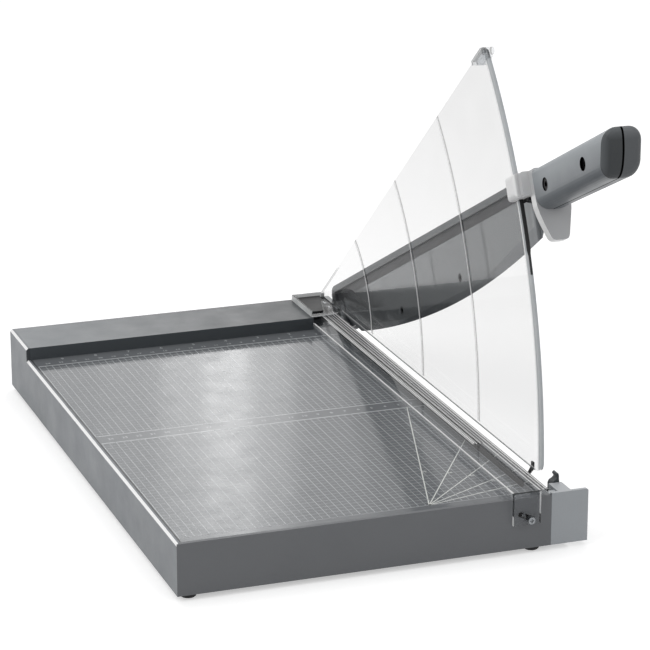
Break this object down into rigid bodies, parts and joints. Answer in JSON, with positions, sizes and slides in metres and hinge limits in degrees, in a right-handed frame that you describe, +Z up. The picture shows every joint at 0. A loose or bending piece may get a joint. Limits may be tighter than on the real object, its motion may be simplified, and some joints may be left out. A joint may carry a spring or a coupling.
{
  "type": "paper cutter",
  "caption": "Desk paper cutter with a printed table, a hinged blade arm on the right, a clear quarter-circle guard, a clear press bar and a thumb latch.",
  "frame": {"origin": "middle of the outline's length and width, on the surface that the feet stand on", "axes": "+X to the right, where the blade is, +Y to the back, where the arm's pivot is, +Z up"},
  "size_m": [0.2792, 0.4994, 0.3113],
  "materials": {
    "shell_light": "fine satin",
    "shell_dark": "fine satin",
    "table": "matt, printed with a line pattern and scales",
    "rail": "fine satin",
    "inner_dark": "plain moulded",
    "blade_steel": "ground and polished",
    "bright_steel": "zinc plated",
    "black_steel": "blackened",
    "bush_brass": "turned",
    "clear": "clear, polished",
    "rubber": "matt",
    "black": "plain moulded",
    "lever_dark": "satin",
    "arm_grey": "painted light grey",
    "collar_white": "satin",
    "handle_grey": "satin",
    "cap_dark": "soft, matt",
    "cap_mid": "soft, matt"
  },
  "bodies": {
    "base": {"left_panel": "shell_light", "front_wall": "shell_dark", "right_wall": "inner_dark", "rear_wall": "shell_dark", "table_plate": "table", "rear_rail": "rail", "base_frame": "inner_dark", "bottom_cover": "inner_dark", "bottom_screws": "bright_steel", "feet": "rubber", "counter_blade": "blade_steel", "counter_blade_screws": "bright_steel", "end_cap": "shell_light", "end_cap_screws": "bright_steel", "latch_pin": "bright_steel", "pivot_bracket": "blade_steel", "bracket_screws": "bright_steel", "pivot_stud": "bright_steel", "clamp_cover": "clear", "cover_plate": "shell_dark", "guide_block": "black", "guard": "clear", "guard_screws": "bright_steel", "brake_strip": "rubber", "stop_clip": "clear", "paper_guide": "black", "pivot_washer": "bright_steel", "pivot_nut": "bright_steel"},
    "arm": {"pivot_bush": "bush_brass", "arm_beam": "arm_grey", "blade": "blade_steel", "blade_screws": "black_steel", "collar": "collar_white", "collar_glide": "black", "handle_left": "handle_grey", "handle_right": "handle_grey", "cap_left": "cap_dark", "cap_right": "cap_mid", "handle_screws": "black_steel"},
    "press": {"press_bar": "clear", "press_pad": "rubber", "clamp_screw": "bright_steel", "clamp_nut": "bright_steel", "guide_pin": "bright_steel"},
    "latch": {"latch_lever": "lever_dark"}
  },
  "joints": [
    {"name": "arm_hinge", "type": "hinge", "parent": "base", "child": "arm", "pos_m": [0.1211, 0.21842, 0.0432], "axis": [1, 0, 0], "range_deg": [-11.8, 23.45]},
    {"name": "press_slide", "type": "slide", "parent": "base", "child": "press", "axis": [-0.8821, 0, 0.4711], "range_m": [0, 0.006]},
    {"name": "latch_hinge", "type": "hinge", "parent": "base", "child": "latch", "pos_m": [0.1227, -0.16318, 0.0278], "axis": [0, -1, 0], "range_deg": [0, 11]}
  ]
}
